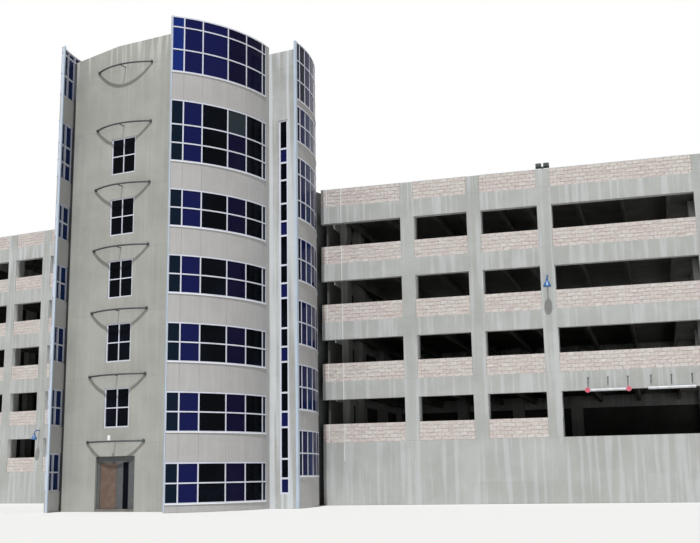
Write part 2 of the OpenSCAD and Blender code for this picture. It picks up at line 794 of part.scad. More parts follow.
module bar_brackets() {
    plate_x = eye_t / 2 + bracket_t / 2;
    color(dark_metal) at_right() for (b = [0, 1])
        for (i = [-1:1])
            translate([bar_x + b * bar_next + i * hanger_pitch, 0, pin_z]) {
                translate([plate_x, -pin_out - eye_r, -eye_r]) cube([bracket_t, pin_out + eye_r, 2 * eye_r]);
                translate([-eye_t, -pin_out, 0]) rotate([0, 90, 0])
                    cylinder(r = pin_r, h = eye_t + plate_x + bracket_t);
            }
}

// Bell lamps on arms, one on a column of each wing
module wall_lamp() {
    half = lamp_out / 2;
    rotate([90, 0, 0]) cylinder(d = arm_d, h = half);
    translate([0, -half, 0]) rotate([0, -90, 180])
        translate([-half, 0, 0]) rotate_extrude(angle = 90) translate([half, 0]) circle(d = arm_d);
    translate([0, -lamp_out, -half - shade_h]) rotate_extrude()
        polygon([[0, 0], [shade_d / 2, 0], [shade_d / 2, shade_brim], [shade_waist_d / 2, shade_waist],
                 [arm_d, shade_neck], [arm_d, shade_h], [0, shade_h]]);
}
module wall_lamps() {
    color(lamp_blue) {
        at_right() translate([right_cols[2] + col_w / 2, 0, 3 * storey_h + lamp_rise]) wall_lamp();
        at_left() translate([left_cols[2] + col_w / 2, 0, storey_h + lamp_rise]) wall_lamp();
    }
}
module roof_floodlights() {
    color(dark_metal) at_right() translate([right_cols[2] + col_w / 2, col_d / 2, right_top]) {
        cylinder(d = arm_d, h = flood_post);
        translate([-flood_bar / 2, -flood_w / 4, flood_post]) cube([flood_bar, flood_w / 2, arm_d]);
        for (side = [-1, 1])
            translate([side * flood_pitch / 2 - flood_w / 2, -flood_w / 2, flood_post + arm_d])
                cube([flood_w, flood_w, flood_h]);
    }
}

front_wall();
entry_wall_piers();
entry_infill();
entry_over_panel();
entry_side_panel();
entry_door();
entry_lamp();
strip_window_wall();
left_return_wall();
left_side_wall();
tower_back_wall();
tower_right_wall();
tower_front_floors();
tower_back_floors();
front_bay_bands();
front_bay_frames();
front_bay_glass();
right_bay_bands();
right_bay_frames();
right_bay_glass();
left_bay_bands();
left_bay_frames();
left_bay_glass();
bay_edge_fins();
front_window_frames();
strip_window_frame();
window_glass();
shade_hoops();
right_columns();
right_beams();
right_block_walls();
right_floors();
right_floor_ribs();
right_base_walls();
left_columns();
left_beams();
left_block_walls();
left_floors();
left_floor_ribs();
left_base_walls();
clearance_bar_left();
clearance_bar_right();
bar_brackets();
wall_lamps();
roof_floodlights();
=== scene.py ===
import json
import math

import bmesh
import bpy
import numpy as np
from mathutils import Matrix, Vector


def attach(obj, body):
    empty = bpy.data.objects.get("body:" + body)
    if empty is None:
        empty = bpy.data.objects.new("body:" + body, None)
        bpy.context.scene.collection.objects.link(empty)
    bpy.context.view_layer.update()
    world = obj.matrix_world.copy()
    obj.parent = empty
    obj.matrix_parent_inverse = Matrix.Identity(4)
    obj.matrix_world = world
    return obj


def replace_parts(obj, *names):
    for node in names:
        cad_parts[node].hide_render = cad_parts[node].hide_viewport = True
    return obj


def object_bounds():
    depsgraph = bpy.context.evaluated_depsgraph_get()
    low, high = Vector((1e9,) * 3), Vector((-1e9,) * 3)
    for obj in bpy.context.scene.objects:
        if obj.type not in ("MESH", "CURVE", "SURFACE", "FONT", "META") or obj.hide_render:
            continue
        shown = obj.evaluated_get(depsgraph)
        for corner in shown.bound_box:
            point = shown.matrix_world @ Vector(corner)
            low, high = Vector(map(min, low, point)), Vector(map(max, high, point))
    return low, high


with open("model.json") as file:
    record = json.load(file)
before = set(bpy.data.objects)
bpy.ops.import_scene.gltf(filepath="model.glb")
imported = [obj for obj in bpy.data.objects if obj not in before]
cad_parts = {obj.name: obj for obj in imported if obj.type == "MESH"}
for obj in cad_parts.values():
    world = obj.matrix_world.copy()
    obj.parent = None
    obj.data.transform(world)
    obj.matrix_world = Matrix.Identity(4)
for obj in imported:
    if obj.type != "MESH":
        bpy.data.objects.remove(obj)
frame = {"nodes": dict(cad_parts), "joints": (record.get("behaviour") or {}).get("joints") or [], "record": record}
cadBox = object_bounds()
nodes = frame["nodes"]
joints = {joint["name"]: joint for joint in frame["joints"]}
slots = {row["node"]: row["material_slot"] for row in frame["record"]["subparts"]}
dice = np.random.default_rng(68)

barAxis = joints["left_bar_swing"]["axis"]
wingTurn = math.atan2(barAxis[1], barAxis[0])   # the right wing's turn away from the tower's front
upward = np.array([0.0, 0.0, 1.0])
print("frame loaded:", len(nodes), "nodes, wing turned by", round(math.degrees(wingTurn), 2))


# Camera: the photo's standing place and pitch, in the part's own frame
cameraLook = dict(place=(16.838, -22.616, 0.806), across=(0.90125, 0.43330, 0.0),
                  ahead=(-0.43330, 0.90125, 0.0), pitch=11.2296, roll=-0.9771, lens=52.69, sensor=36.0,
                  clipEnd=500.0)


def placeCamera(look):
    pitch, roll = math.radians(look["pitch"]), math.radians(look["roll"])
    across, ahead = Vector(look["across"]), Vector(look["ahead"])
    forward = ahead * math.cos(pitch) + Vector(upward) * math.sin(pitch)
    overhead = Vector(upward) * math.cos(pitch) - ahead * math.sin(pitch)
    right = across * math.cos(roll) + overhead * math.sin(roll)
    top = overhead * math.cos(roll) - across * math.sin(roll)
    data = bpy.data.cameras.new("camera")
    data.lens, data.sensor_width = look["lens"], look["sensor"]
    data.clip_end = look["clipEnd"]
    camera = bpy.data.objects.new("camera", data)
    turn = Matrix((right, top, -forward)).transposed().to_4x4()
    camera.matrix_world = Matrix.Translation(look["place"]) @ turn
    bpy.context.scene.collection.objects.link(camera)
    bpy.context.scene.camera = camera


placeCamera(cameraLook)


# Node helpers
def srgb(red, green, blue):
    shade = np.array([red, green, blue]) / 255
    linear = np.where(shade <= 0.04045, shade / 12.92, ((shade + 0.055) / 1.055) ** 2.4)
    return (*map(float, linear), 1.0)


def add(tree, kind, sockets=None, **settings):
    node = tree.nodes.new(kind)
    for key, value in settings.items():
        setattr(node, key, value)
    for key, value in (sockets or {}).items():
        if isinstance(value, bpy.types.NodeSocket):
            tree.links.new(value, node.inputs[key])
        else:
            node.inputs[key].default_value = value
    return node


def maths(tree, operation, first, second=0.0, third=0.0):
    return add(tree, "ShaderNodeMath", {0: first, 1: second, 2: third}, operation=operation).outputs[0]


def fade(tree, value, low, high, start=0.0, end=1.0):
    sockets = {"Value": value, "From Min": low, "From Max": high, "To Min": start, "To Max": end}
    return add(tree, "ShaderNodeMapRange", sockets, interpolation_type="SMOOTHSTEP").outputs["Result"]


def blendColour(tree, factor, first, second):
    node = add(tree, "ShaderNodeMix", data_type="RGBA")
    for index, value in ((0, factor), (6, first), (7, second)):
        if isinstance(value, bpy.types.NodeSocket):
            tree.links.new(value, node.inputs[index])
        else:
            node.inputs[index].default_value = value
    return node.outputs[2]


def bump(tree, height, distance, strength=1.0):
    sockets = {"Height": height, "Distance": distance, "Strength": strength}
    return add(tree, "ShaderNodeBump", sockets).outputs["Normal"]


def startGroup(name, inputs, outputs):
    group = bpy.data.node_groups.new(name, "ShaderNodeTree")
    for label, kind in inputs:
        group.interface.new_socket(name=label, in_out="INPUT", socket_type=kind)
    for label in outputs:
        group.interface.new_socket(name=label, in_out="OUTPUT", socket_type="NodeSocketFloat")
    return group, add(group, "NodeGroupInput").outputs, add(group, "NodeGroupOutput").inputs


def useGroup(tree, group, **values):
    node = add(tree, "ShaderNodeGroup", node_tree=group)
    for key, value in values.items():
        if isinstance(value, bpy.types.NodeSocket):
            tree.links.new(value, node.inputs[key])
        else:
            node.inputs[key].default_value = value
    return node.outputs


def startMaterial(name):
    material = bpy.data.materials.new(name)
    material.use_nodes = True
    tree = material.node_tree
    tree.nodes.clear()
    shader = add(tree, "ShaderNodeBsdfPrincipled")
    tree.links.new(shader.outputs[0], add(tree, "ShaderNodeOutputMaterial").inputs[0])
    coords = add(tree, "ShaderNodeTexCoord").outputs["Object"]
    return material, tree, shader, coords


def wire(tree, shader, **sockets):
    names = dict(colour="Base Color", roughness="Roughness", normal="Normal")
    for key, value in sockets.items():
        tree.links.new(value, shader.inputs[names[key]])


# Shared effects: mineral grain, rain runs and coat wear
def makeMineralGrain():
    inputs = [("Vector", "NodeSocketVector"), ("Fine", "NodeSocketFloat"), ("Coarse", "NodeSocketFloat")]
    group, take, give = startGroup("mineralGrain", inputs, ["Clouds", "Speckle", "Relief"])
    clouds = add(group, "ShaderNodeTexNoise",
                 {"Vector": take[0], "Scale": take[2], "Detail": 5.0, "Roughness": 0.62})
    speckle = add(group, "ShaderNodeTexNoise",
                  {"Vector": take[0], "Scale": take[1], "Detail": 3.0, "Roughness": 0.7})
    group.links.new(fade(group, clouds.outputs[0], 0.3, 0.7), give[0])
    group.links.new(fade(group, speckle.outputs[0], 0.35, 0.7), give[1])
    mixed = maths(group, "MULTIPLY_ADD", speckle.outputs[0], 0.6, clouds.outputs[0])
    group.links.new(mixed, give[2])
    return group


def makeRainRuns():
    inputs = [("Vector", "NodeSocketVector"), ("Across", "NodeSocketFloat"), ("Down", "NodeSocketFloat"),
              ("Cover", "NodeSocketFloat")]
    group, take, give = startGroup("rainRuns", inputs, ["Mask"])
    place = add(group, "ShaderNodeSeparateXYZ", {0: take[0]}).outputs
    stretched = add(group, "ShaderNodeCombineXYZ", {
        0: maths(group, "MULTIPLY", place[0], take[1]),
        1: maths(group, "MULTIPLY", place[1], take[1]),
        2: maths(group, "MULTIPLY", place[2], take[2])})
    runs = add(group, "ShaderNodeTexNoise", {"Vector": stretched.outputs[0], "Scale": 1.0, "Detail": 3.0})
    edge = maths(group, "SUBTRACT", 0.72, maths(group, "MULTIPLY", take[3], 0.3))
    group.links.new(fade(group, runs.outputs[0], edge, maths(group, "ADD", edge, 0.14)), give[0])
    return group


def makeCoatWear():
    inputs = [("Vector", "NodeSocketVector"), ("Scale", "NodeSocketFloat")]
    group, take, give = startGroup("coatWear", inputs, ["Dust", "Haze"])
    dust = add(group, "ShaderNodeTexNoise", {"Vector": take[0], "Scale": take[1], "Detail": 4.0})
    fine = maths(group, "MULTIPLY", take[1], 7.0)
    hazeAndSheen = add(group, "ShaderNodeTexNoise", {"Vector": take[0], "Scale": fine})
    group.links.new(fade(group, dust.outputs[0], 0.4, 0.75), give[0])
    group.links.new(hazeAndSheen.outputs[0], give[1])
    return group


mineralGrain, rainRuns, coatWear = makeMineralGrain(), makeRainRuns(), makeCoatWear()


# Cast concrete: clouds, pours of slightly different tone, pale rain runs, and a cast joint at each storey
def castConcrete(name, look):
    material, tree, shader, coords = startMaterial(name)
    grain = useGroup(tree, mineralGrain, Vector=coords, Fine=look["fine"], Coarse=look["coarse"])
    pours = add(tree, "ShaderNodeTexVoronoi", {"Vector": coords, "Scale": look["pours"]},
                distance="CHEBYCHEV")
    pourTone = add(tree, "ShaderNodeSeparateColor", {0: pours.outputs["Color"]}).outputs[0]
    runs = useGroup(tree, rainRuns, Vector=coords, Across=look["across"], Down=look["down"],
                    Cover=look["cover"])
    height = add(tree, "ShaderNodeSeparateXYZ", {0: coords}).outputs[2]
    reach = fade(tree, height, look["top"] - look["wet"], look["top"], look["lowRuns"], 1.0)
    clouds = maths(tree, "MULTIPLY", grain["Clouds"], look["cloudAmount"])
    colour = blendColour(tree, clouds, look["base"], look["dark"])
    colour = blendColour(tree, maths(tree, "MULTIPLY", pourTone, look["pourAmount"]), colour, look["dark"])
    speckle = maths(tree, "MULTIPLY", grain["Speckle"], look["speckle"])
    colour = blendColour(tree, speckle, colour, look["dark"])
    runAmount = maths(tree, "MULTIPLY", maths(tree, "MULTIPLY", runs["Mask"], reach), look["runAmount"])
    colour = blendColour(tree, runAmount, colour, look["pale"])
    phase = maths(tree, "MODULO", height, look["storey"])
    joint = fade(tree, maths(tree, "ABSOLUTE", maths(tree, "SUBTRACT", phase, look["storey"] / 2)),
                 look["storey"] / 2 - look["jointWidth"], look["storey"] / 2)
    colour = blendColour(tree, maths(tree, "MULTIPLY", joint, look["jointAmount"]), colour, look["dark"])
    rough = fade(tree, grain["Speckle"], 0.0, 1.0, *look["rough"])
    relief = maths(tree, "SUBTRACT", grain["Relief"], joint)
    wire(tree, shader, colour=colour, roughness=rough, normal=bump(tree, relief, look["relief"]))
    shader.inputs["Specular IOR Level"].default_value = look["specular"]
    return material


# the tower's concrete is painted a little darker than the wing's: painted shade for the tower front's weaker
# light, the wing's being the plain tone
towerConcreteShaded = dict(base=srgb(173, 174, 168), dark=srgb(144, 144, 137), pale=srgb(214, 214, 210), fine=34.0,
                     coarse=0.9, pours=0.55, across=11.0, down=0.45, cover=0.75, top=12.484, wet=1.1,
                     lowRuns=0.12, runAmount=0.6, cloudAmount=0.5, pourAmount=0.22, speckle=0.16,
                     storey=1.68, jointWidth=0.007, jointAmount=0.35, relief=0.004, rough=(0.78, 0.92),
                     specular=0.3)
wingConcrete = dict(towerConcreteShaded, base=srgb(182, 184, 182), dark=srgb(152, 153, 149),
                    pale=srgb(214, 219, 223), top=8.909, lowRuns=0.6, across=8.0, down=0.35, cover=0.8,
                    runAmount=0.42, pours=0.7, pourAmount=0.3, jointAmount=0.0)
stripConcrete = dict(towerConcreteShaded, base=srgb(188, 190, 190), pale=srgb(220, 226, 230), across=6.0,
                     down=0.16, cover=1.0, lowRuns=0.9, wet=3.0, jointAmount=0.0)
deckConcrete = dict(wingConcrete, base=srgb(118, 117, 112), dark=srgb(88, 87, 84), pale=srgb(146, 145, 141),
                    across=1.5, down=1.5, fine=48.0, pourAmount=0.07, pours=0.35)
# a very dark concrete for the screens: painted shade of the halls' dark depths
shadedScreenConcrete = dict(deckConcrete, base=srgb(74, 74, 72), dark=srgb(54, 54, 53), pale=srgb(90, 90, 88))
panelConcrete = dict(towerConcreteShaded, base=srgb(183, 182, 182), dark=srgb(158, 156, 155),
                     pale=srgb(208, 207, 207), fine=60.0, coarse=1.6, pourAmount=0.12, cloudAmount=0.3,
                     lowRuns=0.25, runAmount=0.4, jointAmount=0.0, relief=0.002)


# Split face block: each block has its own tone, its rim is mortar and its broken face is speckled
def splitFaceBlock(name, look):
    material, tree, shader, coords = startMaterial(name)
    tone = add(tree, "ShaderNodeAttribute", attribute_name="tone").outputs["Fac"]
    depth = add(tree, "ShaderNodeAttribute", attribute_name="depth").outputs["Fac"]
    grain = useGroup(tree, mineralGrain, Vector=coords, Fine=look["fine"], Coarse=look["coarse"])
    colour = blendColour(tree, tone, look["rose"], look["cream"])
    speckle = maths(tree, "MULTIPLY", grain["Speckle"], look["speckle"])
    colour = blendColour(tree, speckle, colour, look["shade"])
    clouds = maths(tree, "MULTIPLY", grain["Clouds"], look["clouds"])
    colour = blendColour(tree, clouds, colour, look["cream"])
    mortar = fade(tree, depth, 0.0, look["mortarDepth"], look["mortarAmount"], 0.0)
    colour = blendColour(tree, mortar, colour, look["mortar"])
    wire(tree, shader, colour=colour, roughness=fade(tree, grain["Speckle"], 0.0, 1.0, *look["rough"]),
         normal=bump(tree, grain["Relief"], look["relief"]))
    shader.inputs["Specular IOR Level"].default_value = look["specular"]
    return material


blockLook = dict(rose=srgb(201, 189, 186), cream=srgb(210, 206, 201), shade=srgb(174, 162, 156),
                 mortar=srgb(184, 178, 170), mortarDepth=0.55, mortarAmount=0.75, fine=30.0, coarse=9.0,
                 speckle=0.5, clouds=0.25, relief=0.012, rough=(0.84, 0.96), specular=0.2)


# Coated metal: a little dust on a satin coat, and dark rods above a height where a piece has them
def coatedMetal(name, look):
    material, tree, shader, coords = startMaterial(name)
    wear = useGroup(tree, coatWear, Vector=coords, Scale=look["scale"])
    dust = maths(tree, "MULTIPLY", wear["Dust"], look["dustAmount"])
    colour = blendColour(tree, dust, look["base"], look["dust"])
    if "rodsFrom" in look:
        height = add(tree, "ShaderNodeSeparateXYZ", {0: coords}).outputs[2]
        above = maths(tree, "GREATER_THAN", height, look["rodsFrom"])
        colour = blendColour(tree, above, colour, look["rods"])
    rough = fade(tree, wear["Haze"], 0.2, 0.8, look["gloss"] - 0.06, look["gloss"] + 0.1)
    wire(tree, shader, colour=colour, roughness=rough, normal=bump(tree, wear["Haze"], look["relief"]))
    return material


frameCoat = dict(base=srgb(214, 217, 230), dust=srgb(186, 188, 196), dustAmount=0.4, scale=2.5, gloss=0.42,
                 relief=0.0006)
finCoat = dict(frameCoat, base=srgb(186, 200, 216), dust=srgb(166, 174, 184), gloss=0.38)
darkCoat = dict(base=srgb(62, 68, 69), dust=srgb(98, 100, 98), dustAmount=0.4, scale=5.0, gloss=0.5,
                relief=0.001)
# dark grey coat: infill paint, and painted shade on the gap wall and on the strip at the front wall's left edge
infillAndShadeCoat = dict(darkCoat, base=srgb(78, 80, 82), gloss=0.55)
doorCoat = dict(darkCoat, base=srgb(96, 76, 64), dust=srgb(126, 112, 100))
blueCoat = dict(darkCoat, base=srgb(40, 92, 148), dust=srgb(104, 134, 164), dustAmount=0.3, gloss=0.3)
barCoat = dict(frameCoat, base=srgb(206, 208, 212), dust=srgb(150, 150, 148), dustAmount=0.5, scale=6.0,
               rodsFrom=2.92, rods=srgb(58, 62, 66))
discCoat = dict(frameCoat, base=srgb(204, 84, 104), dust=srgb(206, 140, 150), scale=8.0)
flashingCoat = dict(frameCoat, base=srgb(222, 224, 226), dust=srgb(190, 190, 186), scale=1.5)
# near-white coat for the jamb strips: a painted highlight of sun on the columns' sides
jambHighlightCoat = dict(flashingCoat, base=srgb(246, 250, 252), dust=srgb(226, 232, 234), dustAmount=0.3)
lensPlastic = dict(frameCoat, base=srgb(240, 242, 244), dust=srgb(214, 214, 210), scale=9.0, gloss=0.3)


# Tinted glass: each pane carries its tint with painted reflection, plus painted reflection patches and a faint
# roller wave in its surface
def tintedGlass(name, look):
    material, tree, shader, coords = startMaterial(name)
    tintAndReflection = add(tree, "ShaderNodeAttribute", attribute_name="tone").outputs["Fac"]
    ramp = add(tree, "ShaderNodeValToRGB", {0: tintAndReflection})
    ramp.color_ramp.interpolation = "CONSTANT"
    stops = ramp.color_ramp.elements
    stops.remove(stops[1])
    stops[0].color = look["tintsAndReflections"][0]
    for index, shade in enumerate(look["tintsAndReflections"][1:], 1):
        stops.new(index / len(look["tintsAndReflections"])).color = shade
    wear = useGroup(tree, coatWear, Vector=coords, Scale=look["scale"])
    # a dust noise blends in the reflected colour: painted reflection patches on the glass
    hazeAndSheen = maths(tree, "MULTIPLY", wear["Dust"], look["hazeAndSheen"])
    colour = blendColour(tree, hazeAndSheen, ramp.outputs["Color"], look["reflected"])
    wave = add(tree, "ShaderNodeTexNoise", {"Vector": coords, "Scale": look["waveScale"], "Detail": 1.0})
    wire(tree, shader, colour=colour, roughness=fade(tree, wear["Haze"], 0.2, 0.8, *look["rough"]),
         normal=bump(tree, wave.outputs[0], look["wave"]))
    shader.inputs["Specular IOR Level"].default_value = look["specular"]
    return material


# pane colours: the glass's tint with painted reflection, which changes from column to column on the curved bays
tintAndReflectionNames = ["black", "purple", "violet", "blue", "teal", "slate", "navy"]
glassLook = dict(tintsAndReflections=[srgb(6, 9, 13), srgb(23, 27, 76), srgb(17, 15, 46), srgb(26, 45, 114),
                        srgb(16, 28, 42), srgb(46, 54, 60), srgb(28, 46, 90)],
                 hazeAndSheen=0.2, reflected=srgb(34, 38, 60), scale=0.8, waveScale=1.4, wave=0.003,
                 rough=(0.03, 0.1), specular=0.025)

materials = dict(
    wall_concrete=castConcrete("towerConcreteShaded", towerConcreteShaded),
    wing_concrete=castConcrete("wingConcrete", wingConcrete),
    floor_concrete=castConcrete("deckConcrete", deckConcrete),
    bay_panels=castConcrete("bayPanels", panelConcrete),
    strip_concrete=castConcrete("stripConcrete", stripConcrete),
    shaded_screen_concrete=castConcrete("shadedScreenConcrete", shadedScreenConcrete),
    split_face_block=splitFaceBlock("splitFaceBlock", blockLook),
    white_frame=coatedMetal("paleFrame", frameCoat),
    pale_fin=coatedMetal("paleFin", finCoat),
    dark_metal=coatedMetal("darkMetal", darkCoat),
    infill_paint=coatedMetal("infillAndShadePaint", infillAndShadeCoat),
    door_paint=coatedMetal("doorPaint", doorCoat),
    blue_paint=coatedMetal("bluePaint", blueCoat),
    bar_paint=coatedMetal("barPaint", barCoat),
    disc_paint=coatedMetal("discPaint", discCoat),
    flashing=coatedMetal("flashing", flashingCoat),
    jamb_highlight=coatedMetal("jambHighlight", jambHighlightCoat),
    lamp_lens=coatedMetal("lampLens", lensPlastic),
    tinted_glass=tintedGlass("tintedGlass", glassLook))

for nodeName, cadNode in nodes.items():
    key = slots[nodeName]
    if key == "wall_concrete" and nodeName.startswith(("right_", "left_c", "left_beams", "left_base")):
        key = "wing_concrete"
    if not cadNode.material_slots:
        cadNode.data.materials.append(materials[key])
    for holder in cadNode.material_slots:
        holder.material = materials[key]
print("materials on every node:", len(materials))


# Mesh helpers
mergeGap = 1e-5   # points this near are one point
hair = 0.001      # a hair's breadth
touching = 0.01   # faces this near are level with each other
sameRow = 0.1     # walls or columns whose fronts are this near stand in one row


def solidsOf(name, turn=0.0):
    # the corner points of each separate solid in a node, turned back into its wing's own directions
    shell = bmesh.new()
    shell.from_mesh(nodes[name].data)
    bmesh.ops.remove_doubles(shell, verts=shell.verts, dist=mergeGap)
    back = Matrix.Rotation(-turn, 3, "Z")
    seen, found = set(), []
    for first in shell.verts:
        if first in seen:
            continue
        seen.add(first)
        waiting, group = [first], []
        while waiting:
            point = waiting.pop()
            group.append(back @ point.co)
            fresh = [edge.other_vert(point) for edge in point.link_edges]
            fresh = [other for other in fresh if other not in seen]
            seen.update(fresh)
            waiting.extend(fresh)
        found.append(np.array(group))
    shell.free()
    return found


def boxesOf(name, turn=0.0):
    return [(solid.min(0), solid.max(0)) for solid in solidsOf(name, turn)]


def turned(points, turn):
    c, s = math.cos(turn), math.sin(turn)
    return points @ np.array([[c, s, 0.0], [-s, c, 0.0], [0.0, 0.0, 1.0]])


def makePiece(name, points, faces, material, slot, body="building", values=None, smooth=False):
    mesh = bpy.data.meshes.new(name)
    faces = np.asarray(faces, np.int32)
    mesh.vertices.add(len(points))
    mesh.vertices.foreach_set("co", np.asarray(points, np.float32).ravel())
    mesh.loops.add(faces.size)
    mesh.loops.foreach_set("vertex_index", faces.ravel())
    mesh.polygons.add(len(faces))
    mesh.polygons.foreach_set("loop_start", np.arange(0, faces.size, faces.shape[1], dtype=np.int32))
    mesh.polygons.foreach_set("use_smooth", np.full(len(faces), smooth))
    mesh.update(calc_edges=True)
    for label, (domain, numbers) in (values or {}).items():
        layer = mesh.attributes.new(label, "FLOAT", domain)
        layer.data.foreach_set("value", np.asarray(numbers, np.float32))
    mesh.materials.append(materials[material])
    piece = bpy.data.objects.new(name, mesh)
    bpy.context.scene.collection.objects.link(piece)
    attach(piece, body)
    return piece


def gridFaces(rows, columns):
    # quads of one grid whose points run along its columns first
    start = (np.arange(rows - 1)[:, None] * columns + np.arange(columns - 1)).ravel()
    return np.stack([start, start + 1, start + columns + 1, start + columns], 1)


def sweep(rings):
    # closed skin over rings of points (stations, ring points, xyz), with a fan of quads at both ends
    stations, count = rings.shape[:2]
    around = np.arange(count)
    ahead = (around + 1) % count
    base = (np.arange(stations - 1) * count)[:, None]
    corners = [base + around, base + ahead, base + count + ahead, base + count + around]
    sides = np.stack(corners, 2).reshape(-1, 4)
    pairs = np.arange(count // 2 - 1)
    near = np.stack([pairs, count - 1 - pairs, count - 2 - pairs, pairs + 1], 1)
    far = near[:, ::-1] + (stations - 1) * count
    return rings.reshape(-1, 3), np.concatenate([sides, near, far])


def upright(plan, low, high):
    # a plan outline carried from one height to another
    plan = np.asarray(plan, float)
    return sweep(np.stack([np.column_stack([plan, np.full(len(plan), level)]) for level in (low, high)]))


def boxPart(low, high):
    plan = [(low[0], low[1]), (high[0], low[1]), (high[0], high[1]), (low[0], high[1])]
    return upright(plan, low[2], high[2])


def planOf(solid):
    # a prism's plan outline in turning order about its middle, and that middle
    plan = np.unique(np.round(solid[:, :2], 5), axis=0)
    middle = plan.mean(0)
    return plan[np.argsort(np.arctan2(*(plan - middle).T[::-1]))], middle


def joined(parts):
    points, faces, offset = [], [], 0
    for partPoints, partFaces in parts:
        points.append(partPoints)
        faces.append(partFaces + offset)
        offset += len(partPoints)
    return np.concatenate(points), np.concatenate(faces)


def mendNormals(piece):
    shell = bmesh.new()
    shell.from_mesh(piece.data)
    bmesh.ops.remove_doubles(shell, verts=shell.verts, dist=mergeGap)
    bmesh.ops.recalc_face_normals(shell, faces=shell.faces)
    shell.to_mesh(piece.data)
    shell.free()


# Rough block faces: every block is a small grid that rises from its mortar rim to broken middle points
blockWork = dict(course=0.1018, length=0.2, rim=0.006, low=0.006, high=0.017, seat=0.0006,
                 middle=(0.38, 0.62), halfway=(0.4, 0.6))


def wallRuns(name, turn):
    # each block wall as its foot corner, direction, outward normal, length, height and thickness
    boxes = boxesOf(name, turn)
    middle = (np.min([low for low, high in boxes], 0) + np.max([high for low, high in boxes], 0)) / 2
    runs = []
    for low, high in boxes:
        size, centre = high - low, (low + high) / 2
        along = 0 if size[0] > size[1] else 1
        side = 1 - along
        outward = np.zeros(3)
        outward[side] = 1.0 if centre[side] > middle[side] else -1.0
        forward = np.cross(upward, outward)
        face = high[side] if outward[side] > 0 else low[side]
        foot = np.array([0.0, 0.0, low[2]])
        foot[side] = face
        foot[along] = low[along] if forward[along] > 0 else high[along]
        runs.append((foot, forward, outward, size[along], size[2], size[side]))
    return runs


def blocksOf(runs, work):
    # corner, direction, normal, width and height of each block, every second course half a block over
    rows = []
    for foot, forward, outward, length, height, thick in runs:
        courses = max(1, round(height / work["course"]))
        tall = height / courses
        for course in range(courses):
            shift = work["length"] / 2 * (course % 2)
            cuts = np.arange(-shift, length + work["length"], work["length"]).clip(0.0, length)
            cuts = np.unique(np.round(cuts, 5))
            for start, end in zip(cuts[:-1], cuts[1:]):
                if end - start > 3 * work["rim"]:
                    corner = foot + forward * start + upward * course * tall
                    rows.append((corner, forward, outward, end - start, tall))
    return rows


def blockFaces(name, node, turn, work):
    rows = blocksOf(wallRuns(node, turn), work)
    count = len(rows)
    foot, forward, outward = (np.array([row[i] for row in rows]) for i in range(3))
    wide, tall = (np.array([row[i] for row in rows]) for i in (3, 4))
    rim = work["rim"]
    middle = wide * dice.uniform(*work["middle"], count)
    halfway = tall * dice.uniform(*work["halfway"], count)
    across = np.stack([0 * wide, 0 * wide + rim, middle, wide - rim, wide], 1)
    rise = np.stack([0 * tall, 0 * tall + rim, halfway, tall - rim, tall], 1)
    side = across.shape[1]
    out = np.full((count, side, side), work["seat"])
    out[:, 1:-1, 1:-1] = dice.uniform(work["low"], work["high"], (count, side - 2, side - 2))
    points = (foot[:, None, None] + forward[:, None, None] * across[:, None, :, None]
              + upward * rise[:, :, None, None] + outward[:, None, None] * out[..., None])
    faces = (gridFaces(side, side)[None] + (np.arange(count) * side ** 2)[:, None, None]).reshape(-1, 4)
    tone = np.repeat(dice.uniform(0.0, 1.0, count), (side - 1) ** 2)
    depth = ((out - work["seat"]) / (work["high"] - work["seat"])).ravel()
    points = turned(points.reshape(-1, 3), turn)
    makePiece(name, points, faces, "split_face_block", "split_face_block",
              values=dict(tone=("FACE", tone), depth=("POINT", depth)))
    print(name, "made of", count, "blocks")


blockFaces("rightBlockFaces", "right_block_walls", wingTurn, blockWork)
blockFaces("leftBlockFaces", "left_block_walls", 0.0, blockWork)


# Copings: a shallow ridged cap that runs along the top of each parapet wall
copingWork = dict(over=0.011, edge=0.016, ridge=0.024, lip=0.006)


def copings(name, node, turn, work):
    runs = wallRuns(node, turn)
    top = max(foot[2] + height for foot, forward, outward, length, height, thick in runs)
    parts = []
    for foot, forward, outward, length, height, thick in runs:
        if foot[2] + height < top - touching:
            continue
        over, edge, ridge, lip = work["over"], work["edge"], work["ridge"], work["lip"]
        profile = np.array([[over, 0.0], [over, edge], [over - lip, edge + lip], [-thick / 2, ridge],
                            [-thick - over + lip, edge + lip], [-thick - over, edge], [-thick - over, 0.0],
                            [-thick / 2, 0.0]])
        stations = np.array([0.0, length])
        rings = (foot + upward * height + outward * profile[None, :, :1] + upward * profile[None, :, 1:]
                 + forward * stations[:, None, None])
        parts.append(sweep(rings))
    points, faces = joined(parts)
    piece = makePiece(name, turned(points, turn), faces, "flashing", "wall_concrete")
    mendNormals(piece)
    print(name, "along", len(parts), "walls")


copings("rightCopings", "right_block_walls", wingTurn, copingWork)
copings("leftCopings", "left_block_walls", 0.0, copingWork)


# Bays: circle of each, as in the solids, and the colour of each column of panes: glass tint with the painted
# reflection that the column's facing gives it
bays = dict(
    front=dict(centre=(-0.430, 0.330), crown="blue purple purple violet violet slate",
               body="teal purple black violet black slate"),
    right=dict(centre=(-0.160, 0.516), crown="violet violet purple purple violet violet",
               body="violet purple navy purple violet navy"),
    left=dict(centre=(2.439, -0.667), crown="navy " * 6, body="navy " * 6))
# angles in degrees of the front bay's mullions, as the photo shows them
frontMarks = [-46.2, -41.5, -33.9, -22.6, -13.0, -2.7, -0.1]
columnGap = 0.8   # panes that start this many degrees apart are in different columns
# the left bay's bands sit higher than the front bay's
leftLift = dict(start=0.33, shrink=0.017, top=12.484)


